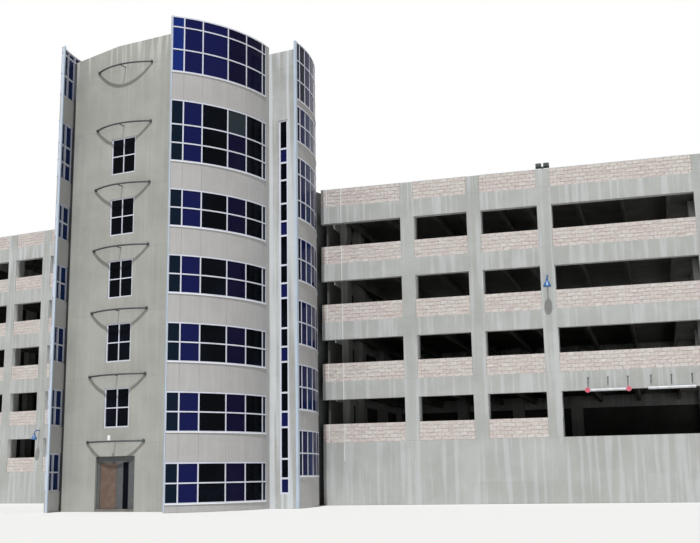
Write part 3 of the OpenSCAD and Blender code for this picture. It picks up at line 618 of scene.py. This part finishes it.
def lifted(side, heights):
    # the left bay's heights, raised more near the foot and not at all at the ground and the top
    heights = np.asarray(heights, float)
    if side != "left":
        return heights
    raised = heights + leftLift["start"] - leftLift["shrink"] * heights
    kept = (heights < touching) | (heights > leftLift["top"] - hair)
    return np.where(kept, heights, np.minimum(raised, leftLift["top"]))


def polar(points, centre):
    # the angle, from -90 to 270 degrees, and the distance of points from a bay's centre
    away = points[:, :2] - np.array(centre)
    angles = np.mod(np.degrees(np.arctan2(away[:, 1], away[:, 0])) + 90, 360) - 90
    return angles, np.hypot(away[:, 0], away[:, 1])


def arcRings(centre, profile, start, end, steps):
    # a profile of radius and height carried along an arc about the bay's centre
    angles = np.radians(np.linspace(start, end, steps))[:, None]
    radius, height = profile[None, :, 0], profile[None, :, 1]
    return np.stack([centre[0] + radius * np.cos(angles), centre[1] + radius * np.sin(angles),
                     height + 0 * angles], 2)


def slab(inner, outer, low, high):
    # a plain upright section: two radii and two heights
    return np.array([[inner, low], [outer, low], [outer, high], [inner, high]])


def marksOf(side):
    # the angles of a bay's mullions, at the first edge of each column of panes
    if side == "front":
        return frontMarks
    spans = [polar(solid, bays[side]["centre"])[0] for solid in solidsOf(side + "_bay_glass")]
    starts = np.sort([span.min() for span in spans])
    kept = starts[np.concatenate([[True], np.diff(starts) > columnGap])]
    return [*kept, max(span.max() for span in spans)]


def rowsOf(frameSolid):
    # the heights where one row of panes ends and the next starts, midway across each rail
    levels = np.unique(np.round(frameSolid[:, 2], 4))
    return np.concatenate([levels[:1], (levels[2:-2:2] + levels[3:-1:2]) / 2, levels[-1:]])


def tintAndReflectionOf(side, band, bands, row, column):
    # the tint and painted reflection of a pane by its column, with the slate panes high in the front bay's second
    # band
    names = bays[side]["crown" if band == bands - 1 else "body"].split()
    if side == "front" and band == bands - 2 and row > 1 and column == 3:
        return "slate"
    return names[min(column, len(names) - 1)]


frameWork = dict(deep=0.066, bar=0.032, foot=0.034, proud=0.002, inset=0.012, glass=0.006, steps=36,
                 paneSteps=5)


def dressBay(side, work):
    # slim curved rails and mullions in each window band, with a pane of tint and painted reflection close behind
    # them
    centre, marks = bays[side]["centre"], marksOf(side)
    solids = sorted(solidsOf(side + "_bay_frames"), key=lambda solid: solid[:, 2].min())
    face = max(polar(solid, centre)[1].max() for solid in solids)
    back, half = face - work["deep"], work["bar"] / 2
    bars, panes, tintsAndReflections = [], [], []
    for band, solid in enumerate(solids):
        levels = lifted(side, rowsOf(solid))
        for level in levels:
            low, high = level - half, level + half
            if level == levels[0]:
                low, high = level, level + work["foot"]
            if level == levels[-1]:
                low, high = level - work["foot"], level
            rail = slab(back, face, low, high)
            bars.append(sweep(arcRings(centre, rail, marks[0], marks[-1], work["steps"])))
        turn = math.degrees(half / face)
        for mark in marks:
            start = max(mark - turn, marks[0])
            end = min(mark + turn, marks[-1])
            post = slab(back, face - work["proud"], levels[0] + work["proud"], levels[-1] - work["proud"])
            bars.append(sweep(arcRings(centre, post, start, end, 2)))
        front = face - work["inset"]
        for column, (start, end) in enumerate(zip(marks[:-1], marks[1:])):
            for row, (low, high) in enumerate(zip(levels[:-1], levels[1:])):
                pane = slab(front - work["glass"], front, low, high)
                panes.append(sweep(arcRings(centre, pane, start, end, work["paneSteps"])))
                tintAndReflection = tintAndReflectionNames.index(tintAndReflectionOf(side, band, len(solids), row, column))
                tintsAndReflections.append(np.full(len(panes[-1][1]), (tintAndReflection + 0.5) / len(tintAndReflectionNames)))
    points, faces = joined(bars)
    piece = makePiece(side + "BayBars", points, faces, "white_frame", "white_frame")
    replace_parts(piece, side + "_bay_frames")
    mendNormals(piece)
    points, faces = joined(panes)
    piece = makePiece(side + "BayPanes", points, faces, "tinted_glass", "tinted_glass",
                      values=dict(tone=("FACE", np.concatenate(tintsAndReflections))))
    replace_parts(piece, side + "_bay_glass")
    print(side, "bay has", len(panes), "panes")


for side in bays:
    dressBay(side, frameWork)


# Bay panels: one cast panel to a column in each band, and the plain jamb that ends the front bay
panelWork = dict(deep=0.085, seam=0.004, round=0.006, steps=7, jambEnd=2.82)


def panelSection(inner, outer, low, high, bevel):
    # a panel's section with its two outer edges bevelled
    return np.array([[inner, low], [outer - bevel, low], [outer, low + bevel], [outer, high - bevel],
                     [outer - bevel, high], [inner, high]])


def bayPanels(side, work):
    centre, marks = bays[side]["centre"], marksOf(side)
    solids = solidsOf(side + "_bay_bands")
    outer = max(polar(solid, centre)[1].max() for solid in solids)
    inner = outer - work["deep"]
    spans = sorted({(round(float(solid[:, 2].min()), 4), round(float(solid[:, 2].max()), 4))
                    for solid in solids})
    seam = math.degrees(work["seam"] / 2 / outer)
    parts = []
    for low, high in lifted(side, spans):
        section = panelSection(inner, outer, low, high, work["round"])
        for start, end in zip(marks[:-1], marks[1:]):
            parts.append(sweep(arcRings(centre, section, start + seam, end - seam, work["steps"])))
    if side == "front":
        jamb = panelSection(inner, outer, 0.0, float(cadBox[1][2]), work["round"])
        parts.append(sweep(arcRings(centre, jamb, marks[-1] + seam, work["jambEnd"], work["steps"])))
    points, faces = joined(parts)
    piece = makePiece(side + "BayPanels", points, faces, "bay_panels", "wall_concrete")
    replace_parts(piece, side + "_bay_bands")
    mendNormals(piece)
    print(side, "bay has", len(parts), "cast panels")


bayPanels("front", panelWork)
bayPanels("left", panelWork)


# Bay sills: a thin sloped sill under each window band
sillWork = dict(out=0.010, drop=0.012, rise=0.004, tuck=0.002, steps=40)


def baySills(side, work):
    centre, marks = bays[side]["centre"], marksOf(side)
    parts = []
    for solid in solidsOf(side + "_bay_frames"):
        face, foot = polar(solid, centre)[1].max(), float(lifted(side, solid[:, 2].min()))
        inner, outer = face - work["tuck"], face + work["out"]
        profile = np.array([[inner, foot - work["drop"]], [outer, foot - work["drop"]],
                            [outer, foot - work["drop"] / 2], [inner, foot + work["rise"]]])
        parts.append(sweep(arcRings(centre, profile, marks[0], marks[-1], work["steps"])))
    points, faces = joined(parts)
    mendNormals(makePiece(side + "BaySills", points, faces, "flashing", "white_frame"))


for side in bays:
    baySills(side, sillWork)
print("bay sills laid")


# Edge fins: as in the solids, but narrow as in the photo
finWork = dict(front=0.024, right=0.062, left=0.055, rightPast=3.0, leftPast=-1.0, frontPast=-1.0)


def edgeFins(work):
    centre = np.array(bays["front"]["centre"])
    parts = []
    for solid in solidsOf("bay_edge_fins"):
        plan, middle = planOf(solid)
        if middle[0] > 0 and middle[1] < work["frontPast"]:
            angle = math.radians(frontMarks[0])
            away = np.array([math.sin(angle), -math.cos(angle)])
            shift = (plan - centre) @ away
            plan = plan - away * (shift * (1 - work["front"] / shift.max()))[:, None]
        if middle[0] > work["rightPast"]:
            outer = plan[:, 0].max()
            plan[:, 0] = outer - (outer - plan[:, 0]) * work["right"] / np.ptp(plan[:, 0])
        if middle[0] < work["leftPast"]:
            across = np.array(cameraLook["across"][:2])
            place = plan @ across
            narrow = (place.max() - place) * (1 - work["left"] / np.ptp(place))
            plan = plan + across * narrow[:, None]
        parts.append(upright(plan, solid[:, 2].min(), solid[:, 2].max()))
    points, faces = joined(parts)
    piece = makePiece("edgeFins", points, faces, "pale_fin", "pale_fin")
    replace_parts(piece, "bay_edge_fins")
    mendNormals(piece)


edgeFins(finWork)
print("edge fins placed")


# Flat windows: slim frames two panes wide and two high, and the strip window's panes in two tints
windowWork = dict(outer=0.034, cross=0.026, deep=0.055, inset=0.022, glass=0.006, sillOver=0.016,
                  sillOut=0.004, sillTall=0.026, stripInset=0.018, purple=(0, 3, 6, 9, 12, 16))


def frontWindows(work):
    bars, panes, tintsAndReflections = [], [], []
    for low, high in boxesOf("front_window_frames"):
        face, back = low[1], low[1] + work["deep"]
        outer, half = work["outer"], work["cross"] / 2
        middle = (low + high) / 2
        posts, rails = ([(low[axis], low[axis] + outer), (middle[axis] - half, middle[axis] + half),
                         (high[axis] - outer, high[axis])] for axis in (0, 2))
        for start, end in posts:
            bars.append(boxPart((start, face, low[2]), (end, back, high[2])))
        for start, end in rails:
            bars.append(boxPart((low[0], face + hair, start), (high[0], back, end)))
        over = work["sillOver"]
        bars.append(boxPart((low[0] - over, face - work["sillOut"], low[2] - work["sillTall"]),
                            (high[0] + over, face, low[2])))
        front = face + work["inset"]
        panes.append(boxPart((low[0], front, low[2]), (high[0], front + work["glass"], high[2])))
        tintsAndReflections.append("black")
    strip = solidsOf("strip_window_frame")[0]
    low, high, levels = strip.min(0), strip.max(0), rowsOf(strip)
    front = low[1] + work["stripInset"]
    for index, (start, end) in enumerate(zip(levels[:-1], levels[1:])):
        panes.append(boxPart((low[0], front, start), (high[0], front + work["glass"], end)))
        tintsAndReflections.append("purple" if index in work["purple"] else "black")
    points, faces = joined(bars)
    piece = makePiece("frontWindowBars", points, faces, "white_frame", "white_frame")
    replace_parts(piece, "front_window_frames")
    mendNormals(piece)
    tone = np.concatenate([np.full(len(part[1]), (tintAndReflectionNames.index(tintAndReflection) + 0.5) / len(tintAndReflectionNames))
                           for part, tintAndReflection in zip(panes, tintsAndReflections)])
    points, faces = joined(panes)
    piece = makePiece("flatPanes", points, faces, "tinted_glass", "tinted_glass",
                      values=dict(tone=("FACE", tone)))
    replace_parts(piece, "window_glass")
    print("flat windows have", len(panes), "panes")


frontWindows(windowWork)


# Tower corner: behind the right bay the tower turns inwards, so that nothing of it shows past the bay
cornerTurn, cornerEnd = (3.515, 2.88), (1.74, 6.228)
cornerWork = dict(turn=cornerTurn, end=cornerEnd, wall=0.15, stripTop=12.28, roofFrom=12.2, roofDrop=0.13,
                  slopeFrom=(-0.25, 12.484), slopeTo=(-1.784, 12.27), shadeStripWide=0.09, shadeStripOut=0.006,
                  wallPlan=[(3.487, 2.751), (3.56, 2.796), cornerTurn, cornerEnd, (1.57, 6.228),
                            (3.363, 2.88)])


def cutNode(name, piece, place, outward, material, drop=0.0):
    # a merged copy of the node without what lies past a plane; drop lowers its roof slab
    shell = bmesh.new()
    shell.from_mesh(nodes[name].data)
    bmesh.ops.remove_doubles(shell, verts=shell.verts, dist=mergeGap)
    parts = [*shell.verts, *shell.edges, *shell.faces]
    cut = bmesh.ops.bisect_plane(shell, geom=parts, dist=mergeGap, plane_co=place, plane_no=outward,
                                 clear_outer=True)
    rim = [item for item in cut["geom_cut"] if isinstance(item, bmesh.types.BMEdge)]
    bmesh.ops.holes_fill(shell, edges=rim, sides=0)
    bmesh.ops.triangulate(shell, faces=shell.faces)
    bmesh.ops.recalc_face_normals(shell, faces=shell.faces)
    shell.verts.index_update()
    points = np.array([point.co[:] for point in shell.verts])
    faces = np.array([[point.index for point in face.verts] for face in shell.faces])
    shell.free()
    points[points[:, 2] > cornerWork["roofFrom"], 2] -= drop
    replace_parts(makePiece(piece, points, faces, material, slots[name]), name)


def towerCorner(work):
    start, end = np.array(work["turn"]), np.array(work["end"])
    along = (end - start) / np.linalg.norm(end - start)
    inward = np.array([-along[1], along[0]])
    inside = start + inward * work["wall"]
    place, outward = (*inside, 0.0), (along[1], -along[0], 0.0)
    cutNode("tower_back_wall", "towerBackWall", place, outward, "wall_concrete")
    cutNode("tower_back_floors", "towerBackFloors", place, outward, "floor_concrete", work["roofDrop"])
    cutNode("strip_window_wall", "stripWall", (0.0, 0.0, work["stripTop"]), (0.0, 0.0, 1.0),
            "strip_concrete")
    (x1, z1), (x2, z2) = work["slopeFrom"], work["slopeTo"]
    cutNode("front_wall", "frontWall", (x1, 0.0, z1), (z2 - z1, 0.0, x1 - x2), "wall_concrete")
    cutNode("tower_front_floors", "towerFrontFloors", (0.0, 0.0, z1), (0.0, 0.0, 1.0), "floor_concrete",
            work["roofDrop"])
    wallLow, wallHigh = boxesOf("front_wall")[0]
    # a dark strip at the front wall's left edge: painted shade of the recess between the left bay and the front
    # wall
    joint = boxPart((wallLow[0], wallLow[1] - work["shadeStripOut"], 0.0),
                    (wallLow[0] + work["shadeStripWide"], wallLow[1], work["slopeTo"][1]))
    mendNormals(makePiece("shadeStrip", *joint, "infill_paint", "infill_paint"))
    skin = upright(work["wallPlan"], 0.0, float(cadBox[1][2]))
    piece = makePiece("towerRightWall", *skin, "wall_concrete", "wall_concrete")
    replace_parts(piece, "tower_right_wall")
    mendNormals(piece)


towerCorner(cornerWork)
print("tower corner turned in")


# Join to the wing: the wing's first column stands back in its hall, a wall in dark paint, painted shade of the
# recess, closes the gap to the tower, and pale trims run up the end of the block walls
joinWork = dict(back=1.1, firstPast=(4.2, 5.0), gapFrom=(3.50, 2.86), gapTo=(3.64, 3.75), gapThick=0.05,
                gapTop=8.83, cap=0.07, trims=(0.16, 0.60), trimWide=0.02, trimOut=0.022)


def wingColumns(work):
    deeper = np.array([-math.sin(wingTurn), math.cos(wingTurn)]) * work["back"]
    parts = []
    for solid in solidsOf("right_columns"):
        plan, middle = planOf(solid)
        if (middle < work["firstPast"]).all():
            plan = plan + deeper
        parts.append(upright(plan, solid[:, 2].min(), solid[:, 2].max()))
    points, faces = joined(parts)
    piece = makePiece("wingColumns", points, faces, "wing_concrete", slots["right_columns"])
    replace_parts(piece, "right_columns")
    mendNormals(piece)


def gapWall(work):
    start, end = np.array(work["gapFrom"]), np.array(work["gapTo"])
    along = (end - start) / np.linalg.norm(end - start)
    across = np.array([-along[1], along[0]]) * work["gapThick"]
    plan = np.array([start, end, end + across, start + across])
    top = work["gapTop"]
    # the gap wall's dark paint is painted shade of the recess; the cap on top is a dark flashing
    for name, material, low, high in (("gapWall", "infill_paint", 0.0, top),
                                      ("gapCap", "dark_metal", top, top + work["cap"])):
        mendNormals(makePiece(name, *upright(plan, low, high), material, material))


def endTrims(work):
    # thin pale cover strips near the wing's end, the second one over the beams too
    walls = boxesOf("right_block_walls", wingTurn)
    face = min(low[1] for low, high in walls)
    first = min(low[0] for low, high in walls if low[1] < face + sameRow)
    beamFace = min(low[1] for low, high in boxesOf("right_beams", wingTurn))
    parts = []
    for low, high in walls:
        if low[1] > face + sameRow or low[0] > first + sameRow:
            continue
        for offset, front, drop in zip(work["trims"], (low[1], beamFace), (0.0, high[2] - low[2])):
            start = low[0] + offset
            parts.append(boxPart((start, front - work["trimOut"], low[2] - drop),
                                 (start + work["trimWide"], low[1], high[2])))
    points, faces = joined(parts)
    mendNormals(makePiece("endTrims", turned(points, wingTurn), faces, "flashing", "wall_concrete"))


# Jamb faces: a near-white strip on the side of each front column that shows in the openings, a painted highlight
# of sun on that side
jambWork = dict(thick=0.003, front=0.02, gap=0.002, right=0.30, left=0.17)


def jambHighlights(side, turn, work):
    columns = boxesOf(side + "_columns", turn)
    face = min(low[1] for low, high in columns)
    tops = sorted({round(float(high[2]), 3) for low, high in boxesOf(side + "_block_walls", turn)})
    feet = sorted({round(float(low[2]), 3) for low, high in boxesOf(side + "_beams", turn)})
    parts = []
    for low, high in sorted(columns, key=lambda box: box[0][0])[1:]:
        if low[1] > face + sameRow:
            continue
        for start, end in zip(tops[:-1], feet[1:]):
            parts.append(boxPart((high[0], low[1] + work["front"], start + work["gap"]),
                                 (high[0] + work["thick"], low[1] + work[side], end - work["gap"])))
    points, faces = joined(parts)
    mendNormals(makePiece(side + "JambHighlights", turned(points, turn), faces, "jamb_highlight", "wall_concrete"))


jambHighlights("right", wingTurn, jambWork)
jambHighlights("left", 0.0, jambWork)
wingColumns(joinWork)
gapWall(joinWork)
endTrims(joinWork)
print("wing joined to the tower")


# Screens: plain walls close the back of both wings' lowest storeys and their left ends, painted dark as painted
# shade of the halls
screenWork = dict(thick=0.06, gap=0.01, right=4.6, left=4.0, endIn=0.12, endFront=0.12, endBack=0.4,
                  endTop=8.28, farTop=9.0)


def rearScreen(name, node, turn, top, work):
    walls = boxesOf(node, turn)
    back = max(high[1] for low, high in walls)
    row = [(low, high) for low, high in walls if high[1] > back - touching]
    start, end = min(low[0] for low, high in row), max(high[0] for low, high in row)
    near = max(low[1] for low, high in row) - work["gap"]
    points, faces = boxPart((start, near - work["thick"], 0.0), (end, near, top))
    mendNormals(makePiece(name, turned(points, turn), faces, "shaded_screen_concrete", "wall_concrete"))


def endScreen(name, node, turn, top, work):
    # a wall just inside a wing's left end, painted dark as painted shade
    walls = boxesOf(node, turn)
    start = min(low[0] for low, high in walls) + work["endIn"]
    front, back = min(low[1] for low, high in walls), max(high[1] for low, high in walls)
    points, faces = boxPart((start, front + work["endFront"], 0.0),
                            (start + work["thick"], back - work["endBack"], top))
    mendNormals(makePiece(name, turned(points, turn), faces, "shaded_screen_concrete", "wall_concrete"))


endScreen("rightEndScreen", "right_block_walls", wingTurn, screenWork["endTop"], screenWork)
endScreen("leftEndScreen", "left_block_walls", 0.0, screenWork["farTop"], screenWork)
rearScreen("rightRearScreen", "right_block_walls", wingTurn, screenWork["right"], screenWork)
rearScreen("leftRearScreen", "left_block_walls", 0.0, screenWork["left"], screenWork)
print("screens set")


# Red discs that face the clearance bar's ends: a shallow dish turned about its own axis
discWork = dict(proud=0.0015, edge=0.004, sides=28)


def barDiscs(work):
    axis = np.array(barAxis)
    outward = np.cross(axis, upward)
    solid = solidsOf("clearance_bar_left", wingTurn)[0]
    front = solid[np.isclose(solid[:, 1], solid[:, 1].min(), atol=1e-4)]
    middle = (front[:, 0].min() + front[:, 0].max()) / 2
    parts = []
    for group in (front[front[:, 0] < middle], front[front[:, 0] > middle]):
        low, high = group.min(0), group.max(0)
        centre, radius = (low + high) / 2, (high[2] - low[2]) / 2
        shape = np.array([[0.0, work["proud"]], [radius - work["edge"], work["proud"]], [radius, 0.0],
                          [radius, -work["edge"]], [0.0, -work["edge"]]])
        turns = np.radians(np.linspace(0, 360, work["sides"] + 1))[:, None]
        rings = np.stack([centre[0] + shape[None, :, 0] * np.cos(turns),
                          centre[1] - shape[None, :, 1] + 0 * turns,
                          centre[2] + shape[None, :, 0] * np.sin(turns)], 2)
        parts.append((rings.reshape(-1, 3), gridFaces(*rings.shape[:2])))
    points, faces = joined(parts)
    piece = makePiece("barDiscs", turned(points, wingTurn), faces, "disc_paint", "bar_paint", "left_bar")
    mendNormals(piece)


barDiscs(discWork)
print("bar discs fitted")


# Floor, light and world
stageLook = dict(floor=srgb(214, 214, 212), floorRough=0.9, reach=300.0, under=0.002, sun=3.5,
                 sunFrom=(0.11, -0.44, 0.891), sunAngle=1.0, ambient=0.33, background=1.0)


def setStage(look):
    reach = look["reach"]
    mesh = bpy.data.meshes.new("floor")
    corners = [(x * reach, y * reach, -look["under"]) for x, y in ((-1, -1), (1, -1), (1, 1), (-1, 1))]
    mesh.from_pydata(corners, [], [(0, 1, 2, 3)])
    floor = bpy.data.objects.new("floor", mesh)
    bpy.context.scene.collection.objects.link(floor)
    material, tree, shader, coords = startMaterial("paleFloor")
    shader.inputs["Base Color"].default_value = look["floor"]
    shader.inputs["Roughness"].default_value = look["floorRough"]
    shader.inputs["Specular IOR Level"].default_value = 0.0
    mesh.materials.append(material)

    lamp = bpy.data.lights.new("sun", "SUN")
    lamp.energy, lamp.angle = look["sun"], math.radians(look["sunAngle"])
    sun = bpy.data.objects.new("sun", lamp)
    sun.rotation_euler = Vector(look["sunFrom"]).to_track_quat("Z", "Y").to_euler()
    bpy.context.scene.collection.objects.link(sun)

    world = bpy.data.worlds.new("studio")
    world.use_nodes = True
    bpy.context.scene.world = world
    tree = world.node_tree
    tree.nodes.clear()
    rays = add(tree, "ShaderNodeLightPath").outputs
    seen = maths(tree, "MAXIMUM", rays["Is Camera Ray"], rays["Is Glossy Ray"])
    seen = maths(tree, "MAXIMUM", seen, rays["Is Transmission Ray"])
    strength = fade(tree, seen, 0.0, 1.0, look["ambient"], look["background"])
    shade = add(tree, "ShaderNodeBackground", {"Color": (1.0, 1.0, 1.0, 1.0), "Strength": strength})
    tree.links.new(shade.outputs[0], add(tree, "ShaderNodeOutputWorld").inputs[0])


setStage(stageLook)
bpy.context.scene.view_settings.view_transform = "Standard"
print("stage set")
